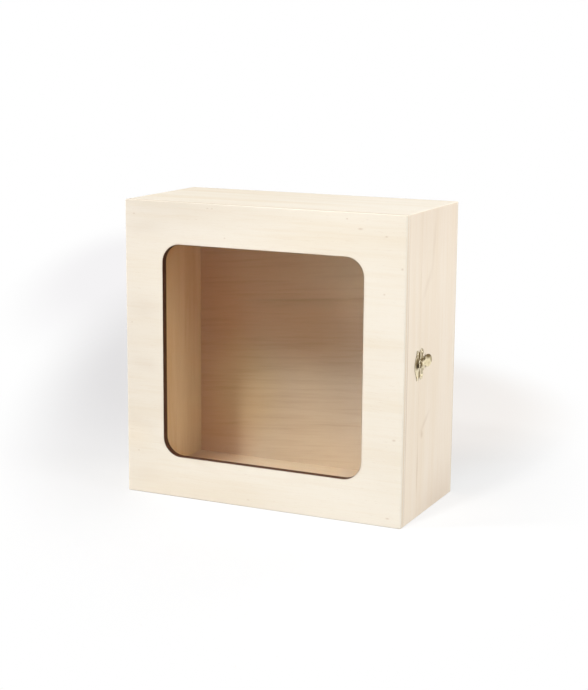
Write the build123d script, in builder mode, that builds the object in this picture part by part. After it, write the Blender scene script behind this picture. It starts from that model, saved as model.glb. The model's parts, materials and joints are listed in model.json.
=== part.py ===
from build123d import *
from math import asin, degrees, radians, sqrt, tan
import os

# Upright display box with a windowed lid, hinged on its left and held on its right by a small swing clasp.
# X runs to the right along the front, Y from the front to the rear, Z up.
# The origin is the centre of the box's footprint, on the surface that it stands on. Sizes in millimetres.

# Box
width = 250.0
height = 250.0
lid_depth = 34.0
case_depth = 84.0
wall = 9.0
panel_thickness = 6.0
back_thickness = 3.0
edge_easing = 0.5

# Joint between the lid and the case
seam_gap = 0.2
seam_easing = 0.15

# Window and its pane, which is caught between the front panel and a rabbet in the lid's rails
window_width = 180.0
window_height = 180.0
window_radius = 16.0
pane_thickness = 2.0
rabbet_width = 4.0
pane_play = 0.2
pane_side_play = 0.5

# Butt hinges: leaves let into the rims, knuckles outside the left wall
hinge_length = 24.0
hinge_inset = 48.0
leaf_thickness = 0.8
leaf_margin = 2.2
knuckle_radius = 1.7
knuckle_count = 3
knuckle_gap = 0.12
knuckle_standoff = 0.3
hinge_pin_radius = 0.8
running_clearance = 0.05
mortise_clearance = 0.1

# Countersunk screws of the hinges
screw_spacing = 14.0
screw_radius = 0.8
screw_head_radius = 1.6
screw_length = 8.0
screw_sink = 0.05
fastener_fit = 0.02

# Swing clasp, stamped from sheet. Its places are measured from the rivet, u to the rear and v up.
clasp_height = 127.3
rivet_inset = 3.6
sheet = 0.4
plate_setback = 0.4
plate_corner_rounding = 0.3
lever_thickness = 0.5
lever_gap = 0.1
rivet_radius = 1.0
rivet_head_radius = 1.9
rivet_head_height = 0.85
rivet_head_easing = 0.4
rivet_tail_radius = 1.7
rivet_tail_height = 0.5

# Outline of the clasp's base plate, upper half
base_edge_height = 9.4
base_petal_shoulder = (-2.0, 11.6)
base_petal_tip = (0.9, 12.6)
base_petal_cheek = (4.3, 9.4)
base_waist = (2.9, 6.2)
base_lobe_end = 9.4

# Outline of the clasp's catch plate, upper half
catch_edge_height = 9.4
catch_petal_shoulder = (-6.2, 11.5)
catch_petal_tip = (-9.9, 12.3)
catch_petal_hollow = (-11.2, 8.6)
catch_waist = (-13.1, 5.6)
catch_belly_end = -14.3

# Tongue that is cut free and bent up from the catch plate, and its window in the plate
tongue_inset = 1.2
tongue_width = 3.2
tongue_reach = 2.5
tongue_bend = 0.5
tongue_headroom = 0.15
tongue_flare = 0.8
tongue_flare_rise = 0.5
tongue_window_reach = 4.9
tongue_window_play = 0.35

# Lever: hub, hook that swings in behind the tongue, and a thumb tab bent outwards
hub_radius = 3.4
hook_clearance = 0.13
hook_width = 2.0
hook_arm_clearance = 0.4
hook_tip_angle = 184.0
neck_width = 4.4
tab_centre = (10.2, 1.3)
tab_radius = 5.2
tab_bend_start = 5.0
tab_bend_angle = 14.0
tab_bend_radius = 4.0

# Headed pins of the clasp
pin_radius = 0.5
pin_head_radius = 1.1
pin_head_height = 0.45
pin_length = 7.0
base_pin_place = (0.7, 9.6)
catch_pin_place = (-9.3, 9.1)

# Depths of the main faces
front = -(lid_depth + case_depth) / 2
rear = -front
seam = front + lid_depth
lid_rear = seam - seam_gap / 2
case_front = seam + seam_gap / 2
panel_rear = front + panel_thickness
pane_rear = panel_rear + pane_thickness
case_rear = rear - back_thickness

left_face = -width / 2
right_face = width / 2
hinge_axis = left_face - knuckle_standoff - knuckle_radius
hinge_heights = {"lower": hinge_inset, "upper": height - hinge_inset}

os.makedirs("parts", exist_ok=True)


def facing_front(depth):
    """Plane across the box at a depth, X to the right and Z up, its normal towards the front."""
    return Plane.XZ.offset(-depth)


def facing_right(standoff):
    """Plane parallel to the right face, at a standoff from it, centred on the clasp's rivet."""
    origin = (right_face + standoff, seam + rivet_inset, clasp_height)
    return Plane(origin=origin, x_dir=(0, 1, 0), z_dir=(1, 0, 0))


def write(piece, name):
    """Labels a finished piece and writes it out."""
    piece.label = name
    export_step(piece, f"parts/{name}.step")


def eased_form(near, far, seam_end):
    """Outer form of the lid or the case after sanding; seam_end is the seam's place in the faces' order along Y."""
    with BuildPart() as form:
        with BuildSketch(facing_front(far)):
            with Locations((0, height / 2)):
                Rectangle(width, height)
        extrude(amount=far - near)
        seam_edges = form.faces().sort_by(Axis.Y)[seam_end].edges()
        chamfer(form.edges() - seam_edges, edge_easing)
        chamfer(form.faces().sort_by(Axis.Y)[seam_end].edges(), seam_easing)
    return form.part


lid_form = eased_form(front, lid_rear, -1)
case_form = eased_form(case_front, rear, 0)

# Corners of the ring of boards, from the lower left one round the box
outer_corners = [(left_face, 0), (right_face, 0), (right_face, height), (left_face, height)]
inner_corners = [
    (left_face + wall, wall),
    (right_face - wall, wall),
    (right_face - wall, height - wall),
    (left_face + wall, height - wall),
]
sides = ("bottom", "right", "top", "left")


def mitred_profile(side):
    """Cross-section of one board of the ring, mitred at both ends."""
    far = (side + 1) % len(sides)
    with BuildSketch() as profile:
        with BuildLine():
            Polyline(outer_corners[side], outer_corners[far], inner_corners[far], inner_corners[side], close=True)
        make_face()
    return profile.sketch


# Seats for the hinges and the clasp's fasteners, cut into the boards
leaf_width = wall - leaf_margin
leaf_centre = left_face + leaf_width / 2
mortise_places = [(left_face + (leaf_width + mortise_clearance) / 2, at) for at in hinge_heights.values()]
screw_heights = [at + end * screw_spacing / 2 for at in hinge_heights.values() for end in (-1, 1)]
screw_places = [(leaf_centre, at) for at in screw_heights]


def hinge_seats(face, inwards):
    """Mortises and screw holes in one rim: inwards is -1 into the lid and 1 into the case."""
    with BuildPart() as seats:
        with BuildSketch(facing_front(face)):
            with Locations(*mortise_places):
                Rectangle(leaf_width + mortise_clearance, hinge_length + 2 * mortise_clearance)
        extrude(amount=-inwards * leaf_thickness)
        with BuildSketch(facing_front(face)):
            with Locations(*screw_places):
                Circle(screw_radius + fastener_fit)
        extrude(amount=-inwards * (screw_length + fastener_fit))
    return seats.part


def pin_holes(place):
    """Holes in the right wall for the pins of one clasp plate, above and below the rivet."""
    with BuildPart() as holes:
        with BuildSketch(facing_right(0)):
            with Locations(place, (place[0], -place[1])):
                Circle(pin_radius + fastener_fit)
        extrude(amount=-(pin_length + fastener_fit))
    return holes.part


lid_hinge_seats = hinge_seats(lid_rear, -1)
case_hinge_seats = hinge_seats(case_front, 1)
catch_pin_holes = pin_holes(catch_pin_place)
base_pin_holes = pin_holes(base_pin_place)

with BuildPart() as rivet_tail_seat:
    with BuildSketch(facing_right(0)):
        Circle(rivet_tail_radius + fastener_fit)
    extrude(amount=-(rivet_tail_height + fastener_fit))

# Front panel, plywood with the window sawn out
with BuildPart() as front_panel:
    with BuildSketch(facing_front(panel_rear)):
        with Locations((0, height / 2)):
            Rectangle(width, height)
            RectangleRounded(window_width, window_height, window_radius, mode=Mode.SUBTRACT)
    extrude(amount=panel_thickness)
    add(lid_form, mode=Mode.INTERSECT)
write(front_panel.part, "front_panel")

# Clear pane
pocket_width = width - 2 * wall + 2 * rabbet_width
pocket_height = height - 2 * wall + 2 * rabbet_width
with BuildPart() as window_pane:
    with BuildSketch(facing_front(pane_rear)):
        with Locations((0, height / 2)):
            Rectangle(pocket_width - 2 * pane_side_play, pocket_height - 2 * pane_side_play)
    extrude(amount=pane_thickness)
write(window_pane.part, "window_pane")

# Rails of the lid, rabbeted for the pane
for side, name in enumerate(sides):
    with BuildPart() as lid_rail:
        with BuildSketch(facing_front(lid_rear)):
            add(mitred_profile(side))
        extrude(amount=lid_rear - panel_rear)
        with BuildSketch(facing_front(pane_rear + pane_play)):
            with Locations((0, height / 2)):
                Rectangle(pocket_width, pocket_height)
        extrude(amount=pane_thickness + pane_play, mode=Mode.SUBTRACT)
        add(lid_form, mode=Mode.INTERSECT)
        add([lid_hinge_seats, catch_pin_holes], mode=Mode.SUBTRACT)
    write(lid_rail.part, f"lid_rail_{name}")

# Boards of the case
for side, name in enumerate(sides):
    with BuildPart() as case_board:
        with BuildSketch(facing_front(case_rear)):
            add(mitred_profile(side))
        extrude(amount=case_rear - case_front)
        add(case_form, mode=Mode.INTERSECT)
        add([case_hinge_seats, base_pin_holes, rivet_tail_seat.part], mode=Mode.SUBTRACT)
    write(case_board.part, f"case_board_{name}")

# Back panel, glued over the boards' rear edges
with BuildPart() as back_panel:
    with BuildSketch(facing_front(rear)):
        with Locations((0, height / 2)):
            Rectangle(width, height)
    extrude(amount=back_thickness)
    add(case_form, mode=Mode.INTERSECT)
write(back_panel.part, "back_panel")

# Hinges
knuckle_length = hinge_length / knuckle_count


def hinge_leaf(middle, inwards, knuckles, bore_radius):
    """One leaf with its knuckles, its face flush with the rim: inwards is -1 for the lid and 1 for the case."""
    face = seam + inwards * seam_gap / 2
    foot = middle - hinge_length / 2
    with BuildPart() as leaf:
        with BuildSketch(facing_front(face)):
            with Locations((leaf_centre, middle)):
                Rectangle(leaf_width, hinge_length)
        extrude(amount=-inwards * leaf_thickness)
        for knuckle in knuckles:
            with BuildSketch(Plane.XY.offset(foot + knuckle * knuckle_length + knuckle_gap / 2)):
                with Locations((hinge_axis, seam)):
                    Circle(knuckle_radius)
                with Locations(((hinge_axis + left_face) / 2, face + inwards * leaf_thickness / 2)):
                    Rectangle(left_face - hinge_axis, leaf_thickness)
            extrude(amount=knuckle_length - knuckle_gap)
        with BuildSketch(Plane.XY.offset(foot)):
            with Locations((hinge_axis, seam)):
                Circle(bore_radius)
        extrude(amount=hinge_length, mode=Mode.SUBTRACT)
        ends = [middle - screw_spacing / 2, middle + screw_spacing / 2]
        with Locations(*[Plane(origin=(leaf_centre, face, end), z_dir=(0, -inwards, 0)) for end in ends]):
            CounterSinkHole(screw_radius + fastener_fit, screw_head_radius + fastener_fit, counter_sink_angle=90)
    return leaf.part


case_knuckles = range(0, knuckle_count, 2)
lid_knuckles = range(1, knuckle_count, 2)
for name, middle in hinge_heights.items():
    # The pin runs free in the lid's knuckles and is pressed into the case's
    write(hinge_leaf(middle, -1, lid_knuckles, hinge_pin_radius + running_clearance), f"{name}_hinge_lid_leaf")
    write(hinge_leaf(middle, 1, case_knuckles, hinge_pin_radius), f"{name}_hinge_case_leaf")

    with BuildPart() as hinge_pin:
        with BuildSketch(Plane.XY.offset(middle)):
            with Locations((hinge_axis, seam)):
                Circle(hinge_pin_radius)
        extrude(amount=(hinge_length - knuckle_gap) / 2, both=True)
    write(hinge_pin.part, f"{name}_hinge_pin")

# Countersunk hinge screw, its head at the origin and its shank along +Y
with BuildPart() as screw:
    with BuildSketch(Plane.XY):
        with BuildLine():
            Polyline(
                (0, screw_sink),
                (screw_head_radius - screw_sink, screw_sink),
                (screw_radius, screw_head_radius - screw_radius),
                (screw_radius, screw_length),
                (0, screw_length),
                close=True,
            )
        make_face()
    revolve(axis=Axis.Y)

for name, face, turn in (("lid", lid_rear, 180), ("case", case_front, 0)):
    with BuildPart() as hinge_screws:
        with Locations(*[(leaf_centre, face, at) for at in screw_heights]):
            add(screw.part, rotation=(0, 0, turn))
    write(hinge_screws.part, f"{name}_hinge_screws")

# Plane through the rivet's axis, level, with u along it and the standoff from the right face across it
clasp_section = Plane(origin=facing_right(0).origin, x_dir=(0, 1, 0), z_dir=(0, 0, -1))

# Clasp: base plate on the case
base_edge = plate_setback - rivet_inset
with BuildPart() as clasp_base_plate:
    with BuildSketch(facing_right(0)) as base_outline:
        with BuildLine():
            Polyline((base_lobe_end, 0), (base_edge, 0), (base_edge, base_edge_height))
            ThreePointArc((base_edge, base_edge_height), base_petal_shoulder, base_petal_tip)
            ThreePointArc(base_petal_tip, base_petal_cheek, base_waist)
            TangentArc((base_lobe_end, 0), base_waist, tangent=(0, 1))
        make_face()
        mirror(about=Plane.XZ)
        fillet(base_outline.vertices(), plate_corner_rounding)
    extrude(amount=sheet)
    with BuildSketch(facing_right(0)):
        Circle(rivet_radius + fastener_fit)
        with Locations(base_pin_place, (base_pin_place[0], -base_pin_place[1])):
            Circle(pin_radius + fastener_fit)
    extrude(amount=sheet, mode=Mode.SUBTRACT)
write(clasp_base_plate.part, "clasp_base_plate")

# Clasp: lever, hooked over the tongue at rest
lever_low = sheet + lever_gap
lever_high = lever_low + lever_thickness
tongue_face = -rivet_inset - plate_setback - tongue_inset - sheet
tongue_top = tongue_width / 2
hook_sweep = sqrt(tongue_face**2 + tongue_top**2) + hook_clearance + hook_width / 2
arm_height = tongue_top + hook_arm_clearance + hook_width / 2
hook_root_angle = 180 - degrees(asin(arm_height / hook_sweep))
lever_span = hook_sweep + tab_centre[0] + tab_radius
lever_middle = lever_low + lever_thickness / 2
tab_end_rise = (lever_span - tab_bend_start) * tan(radians(tab_bend_angle))

with BuildPart() as clasp_lever:
    with BuildSketch(facing_right(0)):
        Circle(hub_radius)
        with Locations((tab_centre[0] / 2, 0)):
            Rectangle(tab_centre[0], neck_width)
        with Locations(tab_centre):
            Circle(tab_radius)
        with BuildLine():
            hook = CenterArc((0, 0), hook_sweep, hook_root_angle, hook_tip_angle - hook_root_angle)
            Line((0, arm_height), hook @ 0)
        trace(line_width=hook_width)
        with Locations((0, arm_height), hook @ 0, hook @ 1):
            Circle(hook_width / 2)
    extrude(amount=lever_span)
    with BuildSketch(clasp_section):
        with BuildLine():
            FilletPolyline(
                (-lever_span, lever_middle),
                (tab_bend_start, lever_middle),
                (lever_span, lever_middle + tab_end_rise),
                radius=tab_bend_radius,
            )
        trace(line_width=lever_thickness)
    extrude(amount=lever_span, both=True, mode=Mode.INTERSECT)
    with BuildSketch(facing_right(0)):
        Circle(rivet_radius + running_clearance)
    extrude(amount=lever_high + lever_gap, mode=Mode.SUBTRACT)
write(clasp_lever.part, "clasp_lever")

# Clasp: rivet, with its tail let into the wood behind the base plate
rivet_head_low = lever_high + running_clearance
with BuildPart() as clasp_rivet:
    with BuildSketch(facing_right(0)):
        Circle(rivet_radius)
    extrude(amount=rivet_head_low)
    with BuildSketch(facing_right(0)):
        Circle(rivet_tail_radius)
    extrude(amount=-rivet_tail_height)
    with BuildSketch(facing_right(rivet_head_low)):
        Circle(rivet_head_radius)
    extrude(amount=rivet_head_height)
    chamfer(clasp_rivet.edges().group_by(Axis.X)[-1], rivet_head_easing)
write(clasp_rivet.part, "clasp_rivet")

# Clasp: catch plate on the lid, with its tongue
catch_edge = -rivet_inset - plate_setback
tongue_low = lever_high + tongue_headroom
tongue_line = tongue_low + sheet / 2
tongue_root = tongue_face + sheet / 2
tongue_end = tongue_face - tongue_reach
with BuildPart() as clasp_catch_plate:
    with BuildSketch(facing_right(0)) as catch_outline:
        with BuildLine():
            Polyline((catch_belly_end, 0), (catch_edge, 0), (catch_edge, catch_edge_height))
            ThreePointArc((catch_edge, catch_edge_height), catch_petal_shoulder, catch_petal_tip)
            ThreePointArc(catch_petal_tip, catch_petal_hollow, catch_waist)
            TangentArc((catch_belly_end, 0), catch_waist, tangent=(0, 1))
        make_face()
        mirror(about=Plane.XZ)
        fillet(catch_outline.vertices(), plate_corner_rounding)
    extrude(amount=sheet)
    with BuildSketch(facing_right(0)):
        with Locations((tongue_face - tongue_window_reach / 2, 0)):
            Rectangle(tongue_window_reach, tongue_width + 2 * tongue_window_play)
        with Locations(catch_pin_place, (catch_pin_place[0], -catch_pin_place[1])):
            Circle(pin_radius + fastener_fit)
    extrude(amount=sheet, mode=Mode.SUBTRACT)
    with BuildSketch(clasp_section):
        with BuildLine():
            FilletPolyline(
                (tongue_root, 0),
                (tongue_root, tongue_line),
                (tongue_end, tongue_line),
                (tongue_end - tongue_flare, tongue_line + tongue_flare_rise),
                radius=tongue_bend,
            )
        trace(line_width=sheet)
    extrude(amount=tongue_width / 2, both=True)
write(clasp_catch_plate.part, "clasp_catch_plate")

# Headed pin: its shank runs from the origin down into the wood, its head stands on the clasp's plate
with BuildPart() as pin:
    with BuildSketch(Plane.XY.offset(sheet)):
        Circle(pin_head_radius)
    extrude(amount=pin_head_height)
    with BuildSketch(Plane.XY.offset(-pin_length)):
        Circle(pin_radius)
    extrude(amount=pin_length + sheet)

for name, (along, up) in (("base", base_pin_place), ("catch", catch_pin_place)):
    with BuildPart() as clasp_pins:
        with Locations(*[facing_right(0).from_local_coords((along, end * up)) for end in (-1, 1)]):
            add(pin.part, rotation=(0, 90, 0))
    write(clasp_pins.part, f"clasp_{name}_pins")
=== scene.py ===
import functools
import json
import math

import bmesh
import bpy
from mathutils import Matrix, Vector


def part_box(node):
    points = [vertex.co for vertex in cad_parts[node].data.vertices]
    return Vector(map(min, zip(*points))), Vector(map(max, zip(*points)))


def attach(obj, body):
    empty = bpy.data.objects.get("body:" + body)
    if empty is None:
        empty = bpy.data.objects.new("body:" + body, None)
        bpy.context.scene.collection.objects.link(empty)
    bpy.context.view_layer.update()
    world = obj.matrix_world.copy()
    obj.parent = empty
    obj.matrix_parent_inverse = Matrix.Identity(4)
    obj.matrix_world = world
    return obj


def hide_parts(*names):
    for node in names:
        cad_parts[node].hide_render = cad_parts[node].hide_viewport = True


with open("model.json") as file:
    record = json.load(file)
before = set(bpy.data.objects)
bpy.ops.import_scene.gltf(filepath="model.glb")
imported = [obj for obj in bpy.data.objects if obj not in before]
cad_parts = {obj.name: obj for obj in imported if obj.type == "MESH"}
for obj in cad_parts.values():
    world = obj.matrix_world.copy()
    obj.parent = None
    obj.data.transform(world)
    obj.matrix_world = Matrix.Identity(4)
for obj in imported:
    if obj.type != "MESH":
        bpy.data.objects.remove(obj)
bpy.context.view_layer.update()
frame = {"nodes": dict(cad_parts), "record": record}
nodes = frame["nodes"]

# Places of the box, in metres, in the model's frame
panel_low, panel_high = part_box("front_panel")
front = panel_low.y
panel_rear = panel_high.y
board_low, board_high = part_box("case_board_top")
case_rear = board_high.y
wall = board_high.z - board_low.z
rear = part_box("back_panel")[1].y
half_width = panel_high.x
middle = panel_high.z / 2
window_half = 0.090
window_radius = 0.016

# Colours of woods, linear: the pale tone, and the tone that its darkest grain is multiplied by
PALE = (0.93, 0.86, 0.745)
OUTER_WOOD = (PALE, (0.935, 0.89, 0.82))
SIDE_WOOD = ((0.925, 0.825, 0.705), (0.945, 0.91, 0.85))
# The inner tones are painted shade: darker and redder than the wood, for the shade and warm bounced light in
# the box, and to offset lamp light that reaches the inner faces twice through the pane. The tone on the face
# behind the pane is darkest for that reason.
INNER_SHADE_WOOD = ((0.82, 0.63, 0.385), (0.86, 0.78, 0.70))
SHADED_WOOD = ((0.82, 0.68, 0.48), (0.86, 0.80, 0.75))
BEHIND_PANE_SHADE = ((0.50, 0.44, 0.35), (0.90, 0.85, 0.80))
BACK_SHADE_WOOD = ((0.755, 0.627, 0.462), (0.83, 0.755, 0.68))
FOOT_SHADE_WOOD = ((0.82, 0.70, 0.53), (0.88, 0.81, 0.75))

# Colours of stains, ply layers and painted shade, linear
HONEY = (0.87, 0.765, 0.61)
# Yellow-brown of painted shade low on the back panel's left
PAINTED_YELLOW_SHADE = (0.77, 0.60, 0.32)
# Brown of stains, knots, grain and joint lines, and of painted shade on the side and the back panel
BROWN_STAIN_AND_SHADE = (0.50, 0.33, 0.19)
# Red-brown of painted shade in the box, where bounced light is redder
PAINTED_RED_SHADE = (0.71, 0.365, 0.16)
# Grey-brown of painted shade
PAINTED_SHADE = (0.52, 0.455, 0.40)
# Glue lines of plywood, and a painted contact shadow along the front's bottom edge
GLUE_AND_SHADE = (0.42, 0.29, 0.19)
SEAM = (0.62, 0.49, 0.36)
CORE = (0.82, 0.70, 0.55)
SCORCH = (0.060, 0.017, 0.003)
# Dark brown of painted shade in the gaps round the clasp
CLASP_GAP_SHADE = (0.13, 0.08, 0.02)
WHITE = (1.0, 1.0, 1.0)


class Graph:
    """A node tree, with short calls that add nodes to it."""

    def __init__(self, tree, end="OutputMaterial"):
        self.tree = tree
        tree.nodes.clear()
        self.end = self.node(end)

    @functools.cached_property
    def place(self):
        return self.node("TexCoord").outputs["Object"]

    @functools.cached_property
    def normal(self):
        return self.node("TexCoord").outputs["Normal"]

    def put(self, socket, value):
        """Links a socket's value, or sets it."""
        if isinstance(value, bpy.types.NodeSocket):
            self.tree.links.new(value, socket)
        elif socket.type == "RGBA":
            socket.default_value = (*value, 1.0)
        else:
            socket.default_value = value

    def node(self, kind, inputs=None, **settings):
        """A node with its settings, and its inputs by name or number."""
        made = self.tree.nodes.new(f"ShaderNode{kind}")
        for name, value in settings.items():
            setattr(made, name, value)
        for key, value in (inputs or {}).items():
            self.put(made.inputs[key], value)
        return made

    def maths(self, operation, *values):
        return self.node("Math", dict(enumerate(values)), operation=operation).outputs[0]

    def vector(self, operation, *values):
        made = self.node("VectorMath", dict(enumerate(values)), operation=operation)
        return made.outputs["Value" if operation == "LENGTH" else "Vector"]

    def axis(self, vector, letter):
        return self.node("SeparateXYZ", {0: vector}).outputs[letter]

    def fade(self, value, low, high, start=0.0, end=1.0):
        """A value that goes smoothly from start to end while the input goes from low to high."""
        inputs = {"Value": value, "From Min": low, "From Max": high, "To Min": start, "To Max": end}
        return self.node("MapRange", inputs, interpolation_type="SMOOTHSTEP").outputs[0]

    def noise(self, scale, detail=2.0, roughness=0.5, distortion=0.0, offset=(0, 0, 0), place=None):
        """Noise by place in the model, with a scale for each axis, in waves per metre."""
        mapped = self.node("Mapping", {"Vector": place or self.place, "Location": offset, "Scale": scale})
        inputs = {
            "Vector": mapped.outputs[0],
            "Scale": 1.0,
            "Detail": detail,
            "Roughness": roughness,
            "Distortion": distortion,
        }
        return self.node("TexNoise", inputs).outputs["Fac"]

    def mix(self, factor, first, second, blend="MIX"):
        """A colour between two others, or with MULTIPLY, the first one multiplied by the second one."""
        inputs = {0: factor, 6: first, 7: second}
        return self.node("Mix", inputs, data_type="RGBA", blend_type=blend).outputs[2]

    def beyond(self, centre, reach):
        """Distance outside a box that is given by its centre and its half sizes."""
        away = self.vector("ABSOLUTE", self.vector("SUBTRACT", self.place, centre))
        past = self.vector("MAXIMUM", self.vector("SUBTRACT", away, reach), (0, 0, 0))
        return self.vector("LENGTH", past)

    def spot(self, at, size, turn=0.0, axis="Y", edge=0.3):
        """1 at a point, falling to 0 at an ellipsoid's rim. Half sizes in millimetres, turn in degrees."""
        angles = {"X": (turn, 0, 0), "Y": (0, turn, 0), "Z": (0, 0, turn)}[axis]
        inputs = {
            "Vector": self.place,
            "Location": [value / 1000 for value in at],
            "Rotation": [math.radians(angle) for angle in angles],
            "Scale": [value / 1000 for value in size],
        }
        near = self.node("Mapping", inputs, vector_type="TEXTURE").outputs[0]
        return self.fade(self.vector("LENGTH", near), 1.0, edge)

    def seen(self):
        """1 for what the camera sees, also mirrored or through the pane, and 0 for light on the object."""
        path = self.node("LightPath").outputs
        mirrored = self.maths("MAXIMUM", path["Is Glossy Ray"], path["Is Transmission Ray"])
        scattered = self.maths("MINIMUM", path["Diffuse Depth"], 1)
        direct = self.maths("MAXIMUM", path["Is Camera Ray"], mirrored)
        return self.maths("SUBTRACT", direct, scattered)

    def blend(self, factor, first, second):
        """A shader between two others."""
        return self.node("MixShader", {0: factor, 1: first, 2: second}).outputs[0]

    def finish(self, shader):
        self.tree.links.new(shader, self.end.inputs["Surface"])


def new_material(name):
    material = bpy.data.materials.new(name)
    material.use_nodes = True
    return material, Graph(material.node_tree)


# Wood

# The box's cavity, where the wood takes a painted shade, and distances past it where the shade has faded out
# and where it is still full, in metres
cavity_centre = (0, (panel_rear + case_rear) / 2, middle)
cavity_reach = (half_width - wall, (case_rear - panel_rear) / 2, middle - wall)
cavity_shade_fade = (0.0025, 0.0002)


def wood(
    name, grain, seed, bands_share=0.6, lines_share=0.45, base=0.0, tilt=0.0,
    outer=OUTER_WOOD, inner=INNER_SHADE_WOOD, spots=(), dress=None,
):
    """Sanded pale wood, with a painted shade of another tone in the box's cavity, and its grain tilted about
    Y by some degrees.

    The shares say how much the grain's broad bands and fine lines darken it, and base is how dark it
    is without them. Each spot is (strength, colour, arguments of Graph.spot). Dress adds to the colour last.
    """
    material, graph = new_material(name)
    shift = (seed * 1.7, seed * 2.3, seed * 3.1)
    inputs = {"Vector": graph.place, "Angle": math.radians(tilt)}
    place = graph.node("VectorRotate", inputs, rotation_type="Y_AXIS").outputs[0]

    def figure(along, across, **settings):
        """Noise that is drawn out along the grain, in waves per metre along it and across it."""
        scale = [along if letter == grain else across for letter in "XYZ"]
        return graph.noise(scale, offset=shift, place=place, **settings)

    cloud = graph.noise((5, 5, 5), offset=shift)
    bands = figure(along=3, across=36, detail=3, roughness=0.55, distortion=0.25)
    lines = figure(along=12, across=300, detail=3, roughness=0.6, distortion=0.5)
    fibres = figure(along=60, across=1500)
    flecks = figure(along=260, across=2300, detail=1)
    tone = graph.fade(cloud, 0.35, 0.7, base, base + 0.30)
    layers = ((bands, 0.42, 0.72, bands_share), (lines, 0.45, 0.75, lines_share), (fibres, 0.4, 0.8, 0.20))
    for layer, low, high, share in layers:
        tone = graph.maths("ADD", tone, graph.fade(layer, low, high, 0, share))
    # The cavity's faces take the inner tones, a painted shade
    cavity_shade = graph.fade(graph.beyond(cavity_centre, cavity_reach), *cavity_shade_fade)
    colour = graph.mix(cavity_shade, outer[0], inner[0])
    for strength, stain, spot in spots:
        colour = graph.mix(graph.maths("MULTIPLY", graph.spot(**spot), strength), colour, stain)
    colour = graph.mix(tone, colour, graph.mix(cavity_shade, outer[1], inner[1]), "MULTIPLY")
    colour = graph.mix(graph.fade(flecks, 0.66, 0.80, 0, 0.16), colour, BROWN_STAIN_AND_SHADE)
    if dress:
        colour = dress(graph, colour)
    relief = graph.maths("ADD", graph.maths("MULTIPLY", fibres, 0.7), graph.maths("MULTIPLY", lines, 0.3))
    inputs = {
        "Base Color": colour,
        "Roughness": graph.fade(fibres, 0.3, 0.7, 0.58, 0.70),
        "Normal": graph.node("Bump", {"Height": relief, "Strength": 0.35, "Distance": 0.00012}).outputs[0],
        "Specular IOR Level": 0.35,
    }
    graph.finish(graph.node("BsdfPrincipled", inputs).outputs[0])
    return material


# Depth by which the layers of plywood waver, in metres
ply_waver = 0.0006

# Brown halo and dark rim of the window's cut, in metres: the rim is full up to its core
halo_width = 0.0022
halo_strength = 0.40
scorch_width = 0.00022
scorch_core = 0.00008

# Layers of plywood, from the front face of the sheet to its rear face
ply_stops = [
    (0.00, PALE), (0.22, PALE), (0.28, SEAM), (0.36, CORE), (0.62, CORE),
    (0.70, SEAM), (0.76, HONEY), (0.92, PALE), (1.00, GLUE_AND_SHADE),
]


def plies(graph, colour, near, far):
    """The layers of plywood, on the faces that show its edge, between two depths."""
    edge = graph.fade(graph.maths("ABSOLUTE", graph.axis(graph.normal, "Y")), 0.75, 0.45)
    waver = graph.maths("MULTIPLY", graph.noise((25, 1, 25)), ply_waver)
    depth = graph.maths("ADD", graph.axis(graph.place, "Y"), graph.maths("SUBTRACT", waver, ply_waver / 2))
    share = graph.maths("DIVIDE", graph.maths("SUBTRACT", depth, near), far - near)
    layers = graph.node("ValToRGB", {"Fac": share})
    elements = layers.color_ramp.elements
    while len(elements) < len(ply_stops):
        elements.new(0.5)
    for element, (position, stop) in zip(elements, ply_stops):
        element.position = position
        element.color = (*stop, 1.0)
    ends = graph.fade(graph.noise((900, 300, 900)), 0.5, 0.75, 0, 0.35)
    return graph.mix(edge, colour, graph.mix(ends, layers.outputs[0], HONEY))


def dress_front(graph, colour):
    """Ply layers on the outer edges, and the brown scorch of the cut round the window."""
    colour = plies(graph, colour, front, panel_rear)
    straight = window_half - window_radius
    away = graph.maths("SUBTRACT", graph.beyond((0, 0, middle), (straight, 1, straight)), window_radius)
    halo = graph.fade(away, halo_width, 0, end=halo_strength)
    uneven = graph.maths("MULTIPLY", halo, graph.noise((60, 60, 60), detail=3))
    colour = graph.mix(uneven, colour, BROWN_STAIN_AND_SHADE)
    return graph.mix(graph.fade(away, scorch_width, scorch_core), colour, SCORCH)


def dress_back(graph, colour):
    return plies(graph, colour, case_rear, rear)


# Stains and knots, in millimetres


def face_spots(axis, level, depth, rows):
    """Spots on a face that is square to an axis, which reach a little into the wood.

    Each row is strength, colour, place and half sizes in the face's two directions, turn and edge.
    """
    across = "XYZ".index(axis)
    spots = []
    for strength, stain, first, second, half_first, half_second, turn, edge in rows:
        at = [first, second]
        at.insert(across, level)
        size = [half_first, half_second]
        size.insert(across, depth)
        spots.append((strength, stain, {"at": at, "size": size, "turn": turn, "axis": axis, "edge": edge}))
    return spots


# On the front: x, z, half length and half height, and for the warm patches their turn
knots = [
    (-47.9, 246.2, 1.6, 0.8), (-43.8, 246.2, 1.2, 0.8), (-116.7, 238.5, 1.8, 1.0),
    (-32.3, 222.9, 1.4, 0.9), (86.5, 237.5, 3.4, 1.3), (108.3, 232.7, 1.8, 1.0),
    (75.0, 244.8, 1.4, 0.9), (121.9, 208.3, 1.6, 1.4), (107.3, 187.5, 1.4, 1.0),
    (-119.8, 146.9, 1.2, 0.9), (117.7, 71.9, 2.4, 1.3), (-114.6, 36.5, 1.4, 0.9),
    (-10.4, 6.3, 2.2, 1.1), (113.5, 7.3, 2.6, 1.1), (-120.8, 54.2, 3.6, 0.8),
]
warm_patches = [
    (-112.5, 60.0, 24, 9, 8), (-108.0, 15.0, 26, 12, -4), (-108.0, 112.0, 20, 10, 4),
    (-70.0, 38.0, 46, 6, 22), (-108.0, 228.0, 30, 9, -3), (-108.0, 160.0, 24, 14, 2),
]
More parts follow.
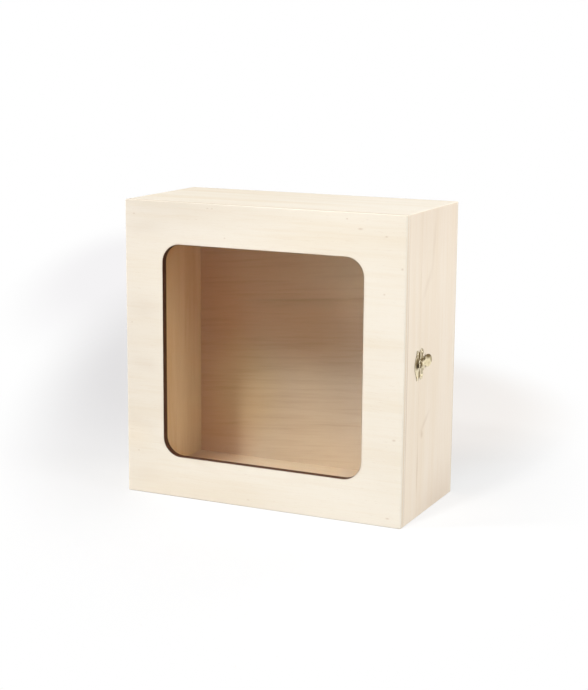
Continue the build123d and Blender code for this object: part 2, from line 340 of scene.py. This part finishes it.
front_rows = [(0.38, BROWN_STAIN_AND_SHADE, *knot, 0, 0.0) for knot in knots]
front_rows += [(0.10, BROWN_STAIN_AND_SHADE, *patch, 0.0) for patch in warm_patches]
front_rows += [
    # The next three rows are painted shade: the front darker on its left, at its top and towards its bottom
    (0.28, PAINTED_SHADE, -150, 125, 150, 220, 0, 0.0),
    (0.28, PAINTED_SHADE, -85, 262, 170, 75, 0, 0.0),
    (0.18, PAINTED_SHADE, -60, -20, 150, 55, 0, 0.0),
    (0.60, HONEY, -60, 0, 160, 40, 0, 0.0),
    (0.60, HONEY, -118, 50, 30, 20, 0, 0.0),
    # Painted contact shadow along the bottom edge
    (0.75, GLUE_AND_SHADE, -75, -0.3, 90, 1.2, 0, 0.2),
]
front_spots = face_spots("Y", -59, 4, front_rows)

# On the right side: wood streaks and joint lines, darker towards the top, painted shade at the foot and
# along the rear edge, and painted shade in the gaps round the clasp
side_rows = [
    (0.13, BROWN_STAIN_AND_SHADE, 3, 222, 5, 40, -9, 0.0),
    (0.11, BROWN_STAIN_AND_SHADE, -11, 190, 5, 26, -40, 0.0),
    (0.18, BROWN_STAIN_AND_SHADE, -10, 77, 3.5, 20, -55, 0.0),
    (0.30, BROWN_STAIN_AND_SHADE, -16, 68, 4, 5, 0, 0.0),
    (0.50, BROWN_STAIN_AND_SHADE, -51.8, 125, 1.1, 165, 0, 0.0),
    (0.45, BROWN_STAIN_AND_SHADE, -25, 40, 1.3, 26, 0, 0.0),
    # Painted shade at the foot
    (0.27, BROWN_STAIN_AND_SHADE, 25, -12, 78, 58, 0, 0.0),
    (0.19, BROWN_STAIN_AND_SHADE, 0, 262, 120, 75, 0, 0.0),
    # Painted shade along the rear edge
    (0.18, BROWN_STAIN_AND_SHADE, 59, 225, 9, 65, 0, 0.0),
]
# Painted shade on the wood in the gaps between the clasp's plates and under its hook
clasp_gap_shade_rows = [
    (0.92, CLASP_GAP_SHADE, -26.5, 127, 2.0, 15, 0, 0.5),
    (0.85, CLASP_GAP_SHADE, -30, 128.8, 6, 6.5, 0, 0.5),
]
side_spots = face_spots("X", 125, 6, side_rows) + face_spots("X", 125, 2, clasp_gap_shade_rows)

# On the back panel's inner face: painted shade, red-brown over the shaded upper part and the left,
# yellow-brown low on the left, and grey-brown and brown around the lit patch; the thin brown rows are grain
# streaks
back_rows = [
    # Painted shade
    (0.60, PAINTED_RED_SHADE, -95, 190, 170, 125, 0, 0.2),
    (0.65, PAINTED_RED_SHADE, -125, 90, 82, 170, 0, 0.45),
    (0.42, PAINTED_RED_SHADE, 0, 133, 95, 50, 0, 0.1),
    (0.62, PAINTED_SHADE, 75, 90, 95, 110, 0, 0.2),
    (0.55, PAINTED_YELLOW_SHADE, -68, 72, 48, 66, 0, 0.2),
    (0.11, BROWN_STAIN_AND_SHADE, -40, 68, 44, 48, 0, 0.1),
    (0.09, BROWN_STAIN_AND_SHADE, 40, 135, 120, 48, 0, 0.0),
    (0.26, BROWN_STAIN_AND_SHADE, 28, 122, 76, 38, 0, 0.25),
    # Grain streaks
    (0.30, BROWN_STAIN_AND_SHADE, 15, 156, 110, 9, -4, 0.0),
    (0.40, BROWN_STAIN_AND_SHADE, -12, 157, 90, 1.6, -5, 0.0),
    (0.40, BROWN_STAIN_AND_SHADE, 52, 163, 50, 1.3, -3, 0.0),
    (0.35, BROWN_STAIN_AND_SHADE, 25, 48, 42, 1.2, -4, 0.0),
]
back_spots = face_spots("Y", 56, 2, back_rows)

# On the inner faces of the bottom and left boards: painted shade, grey-brown on the right of the bottom and
# red-brown on its left and high on the left board
foot_rows = [
    (0.60, PAINTED_SHADE, 80, 45, 75, 70, 0, 0.3),
    (0.45, PAINTED_RED_SHADE, -112, 48, 70, 55, 0, 0.1),
]
foot_spots = face_spots("Z", 9, 5, foot_rows)
left_rows = [
    (0.42, PAINTED_RED_SHADE, 42, 175, 50, 95, 0, 0.1),
    (0.35, PAINTED_RED_SHADE, 0, 225, 90, 80, 0, 0.0),
]
left_spots = face_spots("X", -116, 6, left_rows)


def paint(names, material):
    """Gives CAD nodes their material."""
    for name in names:
        mesh = nodes[name].data
        mesh.materials.clear()
        mesh.materials.append(material)


# Panels and boards
front_plywood = wood(
    "front_plywood", "X", 1, bands_share=0.45, lines_share=0.30,
    inner=BEHIND_PANE_SHADE, spots=front_spots, dress=dress_front,
)
back_plywood = wood(
    "back_plywood", "X", 4, bands_share=0.28, lines_share=0.55, tilt=5.0,
    inner=BACK_SHADE_WOOD, spots=back_spots, dress=dress_back,
)
paint(["front_panel"], front_plywood)
paint(["back_panel"], back_plywood)
for side, grain, seed, base, outer, inner, spots in (
    ("bottom", "X", 7, 0.0, OUTER_WOOD, FOOT_SHADE_WOOD, foot_spots),
    ("right", "Z", 2, 0.15, SIDE_WOOD, SHADED_WOOD, side_spots),
    ("top", "X", 5, 0.0, OUTER_WOOD, SHADED_WOOD, ()),
    ("left", "Z", 9, 0.1, OUTER_WOOD, INNER_SHADE_WOOD, left_spots),
):
    board = wood(f"{side}_boards", grain, seed, base=base, outer=outer, inner=inner, spots=spots)
    paint([f"lid_rail_{side}", f"case_board_{side}"], board)

# Clear acrylic, which lets the lamps through
acrylic, graph = new_material("clear_acrylic")
glass = graph.node(
    "BsdfPrincipled",
    {
        "Base Color": (0.985, 0.99, 0.985),
        "Roughness": graph.fade(graph.noise((18, 18, 18), detail=4), 0.4, 0.8, 0.0, 0.02),
        "IOR": 1.22,
        "Transmission Weight": 1.0,
    },
)
shadow_ray = graph.node("LightPath").outputs["Is Shadow Ray"]
graph.finish(graph.blend(shadow_ray, glass.outputs[0], graph.node("BsdfTransparent").outputs[0]))

# Brass

# Matt dark brown, of patina in the clasp's hollows and of painted shade
PATINA_AND_SHADE = (0.14, 0.085, 0.022)

# Dark places of the clasp, painted shade and dark reflections between and under its parts with some patina
# in its hollows: strength, centre and half sizes in millimetres
patina_and_shade_spots = [
    (1.00, (125, -26.7, 135.5), (2.4, 2.1, 7.0)),
    (0.85, (125, -26.5, 119.0), (2.4, 1.9, 6.5)),
    (0.80, (126.3, -25, 127.5), (1.6, 3.6, 5.5)),
    (0.50, (125, -31, 134.5), (1.2, 5.5, 8)),
    (0.92, (125, -30.5, 129.2), (1.3, 7.0, 7.5)),
    (0.95, (125.9, -20, 131.0), (1.4, 8.5, 2.0)),
    (0.80, (125.4, -19.3, 136), (1.0, 1.8, 7.0)),
    (0.40, (125.4, -20, 134), (0.8, 7.0, 6.0)),
    (0.85, (126, -21.4, 127.3), (1.0, 3.4, 3.4)),
    (0.45, (125.4, -19.5, 121.5), (0.8, 5.0, 4.0)),
    (0.90, (128, -10.8, 134.0), (5.0, 7.0, 5.0)),
    (0.45, (127.5, -6.8, 131), (4.0, 2.4, 6.0)),
]


def brass(name, bright, dull, roughness, spots=()):
    """Plated brass with a little tarnish. With spots, it turns matt dark brown there and on the sheet's
    edges: painted shade and dark reflections, with some real oxide in the hollows.
    """
    material, graph = new_material(name)
    tarnish = graph.noise((350, 350, 350), detail=4, roughness=0.6)
    scratches = graph.noise((300, 4000, 900))
    inputs = {
        "Base Color": graph.mix(graph.fade(tarnish, 0.45, 0.75), bright, dull),
        "Metallic": 1.0,
        "Roughness": graph.fade(tarnish, 0.3, 0.8, roughness, roughness + 0.18),
        "Normal": graph.node("Bump", {"Height": scratches, "Strength": 0.2, "Distance": 0.00002}).outputs[0],
    }
    if spots:
        # The sheet's side faces and the spots get a painted shade and dark reflections, with some patina
        patina_and_shade = graph.fade(graph.axis(graph.normal, "X"), 0.75, 0.35, 0, 0.85)
        for strength, at, size in spots:
            here = graph.maths("MULTIPLY", graph.spot(at, size, edge=0.45), strength)
            patina_and_shade = graph.maths("MAXIMUM", patina_and_shade, here)
        matt = graph.maths("MULTIPLY", patina_and_shade, 0.8)
        inputs["Base Color"] = graph.mix(patina_and_shade, inputs["Base Color"], PATINA_AND_SHADE)
        inputs["Metallic"] = graph.maths("SUBTRACT", 1.0, patina_and_shade)
        inputs["Roughness"] = graph.maths("MAXIMUM", inputs["Roughness"], matt)
        inputs["Specular IOR Level"] = 0.08
    graph.finish(graph.node("BsdfPrincipled", inputs).outputs[0])
    return material


bright_brass = brass("bright_brass", (0.78, 0.60, 0.30), (0.55, 0.40, 0.19), 0.22)
brass_patina_and_shade = brass("brass_patina_and_shade", (0.80, 0.70, 0.48), (0.52, 0.41, 0.23), 0.26, patina_and_shade_spots)


# Making meshes


def even_normals(mesh, widest=math.radians(50)):
    """Corner normals that follow the larger faces, so that flat faces stay flat up to rounded edges."""
    around = [[] for _ in mesh.vertices]
    for face in mesh.polygons:
        for vertex in face.vertices:
            around[vertex].append(face)
    normals = []
    for face in mesh.polygons:
        for vertex in face.vertices:
            near = [other for other in around[vertex] if other.normal.angle(face.normal, 0.0) < widest]
            normals.append(sum((other.normal * other.area**2 for other in near), Vector()).normalized())
    mesh.normals_split_custom_set(normals)


def stand_in(builder, node, material):
    """Makes an object of the built mesh, which rides on the node's body and is shown in its place."""
    mesh = bpy.data.meshes.new(f"{node}_shown")
    builder.to_mesh(mesh)
    builder.free()
    mesh.materials.append(material)
    mesh.polygons.foreach_set("use_smooth", [True] * len(mesh.polygons))
    even_normals(mesh)
    piece = bpy.data.objects.new(f"{node}_shown", mesh)
    bpy.context.scene.collection.objects.link(piece)
    bodies = frame["record"]["behaviour"]["bodies"]
    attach(piece, next(body for body, members in bodies.items() if node in members))
    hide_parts(node)


def rounded_copy(node, width, flat=math.radians(1), sharp=math.radians(40)):
    """The node's mesh with its sharp edges rounded over, as stamped and tumbled sheet has them.

    Faces that meet at less than the flat angle are joined first. Points and faces that the rounding
    leaves without a size are taken out.
    """
    builder = bmesh.new()
    builder.from_mesh(nodes[node].data)
    bmesh.ops.remove_doubles(builder, verts=builder.verts, dist=1e-6)
    bmesh.ops.dissolve_limit(builder, angle_limit=flat, verts=builder.verts, edges=builder.edges)
    edges = [edge for edge in builder.edges if edge.is_manifold and edge.calc_face_angle() > sharp]
    bmesh.ops.bevel(
        builder, geom=edges, offset=width, offset_type="OFFSET", segments=2, profile=0.5,
        affect="EDGES", clamp_overlap=True, miter_outer="ARC",
    )
    bmesh.ops.remove_doubles(builder, verts=builder.verts, dist=1e-7)
    bmesh.ops.dissolve_degenerate(builder, edges=builder.edges, dist=1e-7)
    return builder


def turned(builder, profile, place, segments=32):
    """Adds a turned form and returns its rings.

    The profile is (radius, height) points, and place puts its axis, local Z, in the model.
    """
    rings = []
    for radius, level in profile:
        count = segments if radius else 1
        angles = [math.tau * step / count for step in range(count)]
        points = [Vector((radius * math.cos(angle), radius * math.sin(angle), level)) for angle in angles]
        rings.append([builder.verts.new(place @ point) for point in points])
    for low, high in zip(rings, rings[1:]):
        for i in range(segments):
            j = (i + 1) % segments
            corners = [low[i % len(low)], low[j % len(low)], high[j % len(high)], high[i % len(high)]]
            builder.faces.new(dict.fromkeys(corners))
    return rings


def dome(radius, low, rise, lip, steps=6):
    """Profile of a domed head, from its rim up an upright lip and over to its crown."""
    angles = [math.pi / 2 * step / steps for step in range(steps)]
    bend = [(radius * math.cos(angle), low + lip + rise * math.sin(angle)) for angle in angles]
    return [(radius, low), *bend, (0, low + lip + rise)]


def facing_right(y, z):
    """Puts local Z along the model's +X, at the right face."""
    return Matrix.Translation((half_width, y, z)) @ Matrix.Rotation(math.pi / 2, 4, "Y")


# Window pane, a hair behind the front panel, in metres
pane_gap = 0.00006
pane_rounding = 0.0002
builder = rounded_copy("window_pane", pane_rounding)
bmesh.ops.translate(builder, verts=builder.verts, vec=(0, pane_gap, 0))
stand_in(builder, "window_pane", acrylic)

# Stamped sheet of the clasp and the hinges
clasp_rounding = 0.00009
hinge_rounding = 0.00008
for node in ("clasp_base_plate", "clasp_catch_plate", "clasp_lever"):
    stand_in(rounded_copy(node, clasp_rounding), node, brass_patina_and_shade)
for end in ("lower", "upper"):
    for part in ("lid_leaf", "case_leaf"):
        node = f"{end}_hinge_{part}"
        stand_in(rounded_copy(node, hinge_rounding), node, bright_brass)

# Clasp's rivet with a domed head: radii, and heights over the box's right side
rivet_shank = 0.001
rivet_tail = 0.0017
rivet_tail_low = -0.0005
rivet_head = 0.0019
rivet_head_low = 0.00105
rivet_profile = [
    (0, rivet_tail_low), (rivet_tail, rivet_tail_low), (rivet_tail, 0),
    (rivet_shank, 0), (rivet_shank, rivet_head_low),
]
rivet_profile += dome(rivet_head, rivet_head_low, rise=0.0007, lip=0.0001)
low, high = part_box("clasp_rivet")
centre = (low + high) / 2
builder = bmesh.new()
turned(builder, rivet_profile, facing_right(centre.y, centre.z))
stand_in(builder, "clasp_rivet", brass_patina_and_shade)

# Clasp's pins with domed heads, one at each end of their node
pin_shank = 0.0005
pin_point = -0.007
pin_taper = 0.0005
pin_head = 0.0011
plate_face = 0.0004
pin_profile = [(0, pin_point), (pin_shank, pin_point + pin_taper), (pin_shank, plate_face)]
pin_profile += dome(pin_head, plate_face, rise=0.0004, lip=0.00005)
for node in ("clasp_base_pins", "clasp_catch_pins"):
    low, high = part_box(node)
    builder = bmesh.new()
    for z in (low.z + pin_head, high.z - pin_head):
        turned(builder, pin_profile, facing_right((low.y + high.y) / 2, z), segments=24)
    stand_in(builder, node, brass_patina_and_shade)

# Hinge pins, with rounded ends
for node in ("lower_hinge_pin", "upper_hinge_pin"):
    low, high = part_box(node)
    cap = dome((high.x - low.x) / 2, (high.z - low.z) / 2, rise=0.0003, lip=0.00005)
    other_cap = [(radius, -level) for radius, level in reversed(cap)]
    builder = bmesh.new()
    turned(builder, other_cap + cap, Matrix.Translation((low + high) / 2), segments=24)
    stand_in(builder, node, bright_brass)

# Hinge screws, countersunk with a cross recess: radii, and heights over the leaf's face
screw_head = 0.00155
screw_top = -0.00005
screw_cone = 0.00075
screw_shank = 0.0008
screw_shank_low = -0.0072
screw_tip_low = -0.008
recess_depth = 0.0006
recess_mouth = (0.00090, 0.00024)
recess_floor = (0.00045, 0.00014)
screw_profile = [
    (screw_head, screw_top), (screw_shank, screw_top - screw_cone),
    (screw_shank, screw_shank_low), (0, screw_tip_low),
]


def cross(reach, half, level):
    """Corners of a cross, in order round it, from its arms' reach and half their width."""
    arm = [(reach, -half), (reach, half), (half, half)]
    turns = [Matrix.Rotation(math.pi / 2 * quarter, 3, "Z") for quarter in range(4)]
    return [turn @ Vector((x, y, level)) for turn in turns for x, y in arm]


def recessed_screw(builder, place):
    """Adds a countersunk wood screw with a cross recess, its shank along local -Z."""
    rim = turned(builder, screw_profile, place, segments=24)[0]
    mouth = [builder.verts.new(place @ corner) for corner in cross(*recess_mouth, screw_top)]
    bottom = [builder.verts.new(place @ corner) for corner in cross(*recess_floor, screw_top - recess_depth)]
    for i in range(len(mouth)):
        builder.faces.new((mouth[i - 1], mouth[i], bottom[i], bottom[i - 1]))
    builder.faces.new(bottom)
    loops = [builder.edges.get((ring[i - 1], ring[i])) for ring in (rim, mouth) for i in range(len(ring))]
    bmesh.ops.triangle_fill(builder, edges=loops, use_beauty=True)


# Each leaf has a screw below and above its middle, turned by some radians
leaf_screws = ((-0.007, -0.5), (0.007, 1.3))
for side, outwards in (("lid", 1), ("case", -1)):
    low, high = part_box(f"{side}_hinge_screws")
    face = (high.y if outwards > 0 else low.y) - outwards * screw_top
    builder = bmesh.new()
    for end in ("lower", "upper"):
        leaf_low, leaf_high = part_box(f"{end}_hinge_{side}_leaf")
        for step, turn in leaf_screws:
            at = ((low.x + high.x) / 2, face, (leaf_low.z + leaf_high.z) / 2 + step)
            place = Matrix.Translation(at) @ Matrix.Rotation(-outwards * math.pi / 2, 4, "X")
            recessed_screw(builder, place @ Matrix.Rotation(turn, 4, "Z"))
    bmesh.ops.recalc_face_normals(builder, faces=builder.faces)
    stand_in(builder, f"{side}_hinge_screws", bright_brass)

# Camera, solved from the box's corners in the photograph
photo_width = 588
focal_pixels = 1586.8
camera_place = (0.5566, -1.1901, 0.3882)
yaw, pitch, roll = math.radians(-24.95), math.radians(11.22), math.radians(-0.456)
camera_data = bpy.data.cameras.new("camera")
camera_data.sensor_fit = "HORIZONTAL"
camera_data.sensor_width = 36
camera_data.lens = camera_data.sensor_width * focal_pixels / photo_width
camera = bpy.data.objects.new("camera", camera_data)
heading = Matrix.Rotation(-yaw, 4, "Z")
lean = Matrix.Rotation(math.pi / 2 - pitch, 4, "X")
camera.matrix_world = Matrix.Translation(camera_place) @ heading @ lean @ Matrix.Rotation(-roll, 4, "Z")
bpy.context.scene.collection.objects.link(camera)
bpy.context.scene.camera = camera

# Floor, which keeps the box's shadow near it and is plain white further out
floor_half = 20
floor_mesh = bpy.data.meshes.new("floor")
builder = bmesh.new()
bmesh.ops.create_grid(builder, x_segments=16, y_segments=16, size=floor_half)
builder.to_mesh(floor_mesh)
builder.free()
floor = bpy.data.objects.new("floor", floor_mesh)
bpy.context.scene.collection.objects.link(floor)

# Soft painted shadows on the floor, beside and behind the box: centre and half sizes in millimetres, edge
# and tone
shades = [
    ((-787, 1012, 0), (165, 750, 1000), 0.3, (0.905, 0.895, 0.905)),
    ((-397, 476, 0), (165, 800, 1000), 0.3, (0.795, 0.785, 0.79)),
    ((-48, 341, 0), (222, 310, 1000), 0.55, (0.92, 0.89, 0.865)),
]
shade_turn = 25
near_centre = (-110, 230, 0)
near_size = (310, 700, 1000)
floor_reflects = (0.32, 0.32, 0.32)
floor_scatters = (0.30, 0.30, 0.30)
floor_glow = 0.65
floor_material, graph = new_material("white_floor")
matt = graph.node("BsdfDiffuse", {"Color": floor_scatters}).outputs[0]
tone = WHITE
for centre, size, edge, shade in shades:
    tone = graph.mix(graph.spot(centre, size, shade_turn, "Z", edge), tone, shade)
pale = graph.node("BsdfDiffuse", {"Color": graph.mix(1.0, tone, floor_reflects, "MULTIPLY")}).outputs[0]
glow = graph.node("Emission", {"Color": tone, "Strength": floor_glow}).outputs[0]
white = graph.node("Emission", {"Color": tone, "Strength": 1.0}).outputs[0]
near_box = graph.spot(near_centre, near_size, shade_turn, "Z", edge=0.62)
shown = graph.blend(near_box, white, graph.node("AddShader", {0: pale, 1: glow}).outputs[0])
graph.finish(graph.blend(graph.seen(), matt, shown))
floor_mesh.materials.append(floor_material)


def lamp(name, direction, distance, size, level):
    """A square soft lamp that shines at the box and gives a facing surface the stated level of light."""
    data = bpy.data.lights.new(name, "AREA")
    data.size = size
    data.energy = level * math.pi**2 * distance**2
    made = bpy.data.objects.new(name, data)
    away = Vector(direction).normalized()
    made.location = Vector((0, 0, middle)) + away * distance
    made.rotation_euler = away.to_track_quat("Z", "Y").to_euler()
    bpy.context.scene.collection.objects.link(made)


# Lamps, each with its direction from the box
lamp("key", (-19, -115, 129), distance=4.0, size=0.38, level=0.26)
lamp("softbox", (0.05, -0.42, 0.90), distance=4.0, size=1.6, level=0.31)
lamp("left_fill", (-0.93, -0.58, 0.28), distance=4.0, size=1.0, level=0.925)
lamp("right_front_fill", (0.95, -0.30, 0.2), distance=3.0, size=0.8, level=0.22)
lamp("right_fill", (1, 0.05, 0.40), distance=2.2, size=1.2, level=0.47)
lamp("rear_fill", (0.2, 1, 0.15), distance=3.0, size=1.4, level=0.50)

# World: soft light on the object, and plain white where it is seen
ambient_level = 0.06
world = bpy.data.worlds.new("studio")
world.use_nodes = True
bpy.context.scene.world = world
graph = Graph(world.node_tree, "OutputWorld")
ambient = graph.node("Background", {"Color": WHITE, "Strength": ambient_level}).outputs[0]
white = graph.node("Background", {"Color": WHITE, "Strength": 1.0}).outputs[0]
graph.finish(graph.blend(graph.seen(), ambient, white))

bpy.context.scene.view_settings.view_transform = "Standard"
